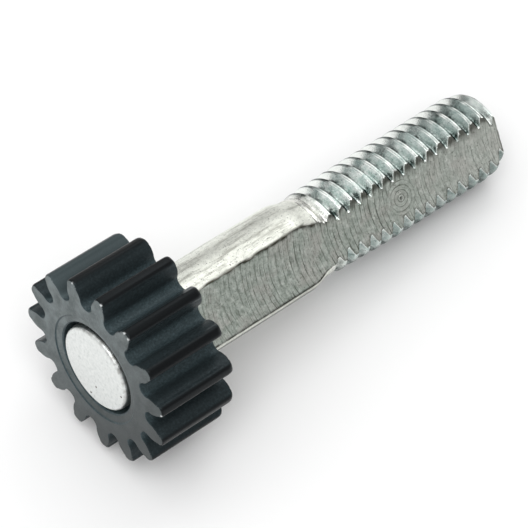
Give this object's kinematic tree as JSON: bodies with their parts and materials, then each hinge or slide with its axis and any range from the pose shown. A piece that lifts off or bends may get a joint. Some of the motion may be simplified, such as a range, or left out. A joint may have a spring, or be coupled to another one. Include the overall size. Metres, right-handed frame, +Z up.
{
  "type": "gear wheel",
  "caption": "Small spur pinion that turns on the plain end of a steel stud, with one milled flat along the shank and the threaded end.",
  "frame": {"origin": "middle of the part's footprint, on the surface that it lies on", "axes": "+X along the stud, from the pinion's front face to the end of the thread, seen from above; +Z up; the part lies on two teeth and the end of the thread, so its axis dips towards +X"},
  "size_m": [0.0434, 0.017, 0.0177],
  "materials": {
    "pinion": "moulded, dull sheen",
    "stud": "bright zinc plated, flat left as milled"
  },
  "bodies": {
    "stud": {"stud": "stud"},
    "pinion": {"pinion": "pinion"}
  },
  "joints": [
    {"name": "pinion_spin", "type": "hinge", "parent": "stud", "child": "pinion", "pos_m": [-0.01689, 0, 0.00876], "axis": [0.9911, 0, -0.1331], "continuous": true}
  ]
}
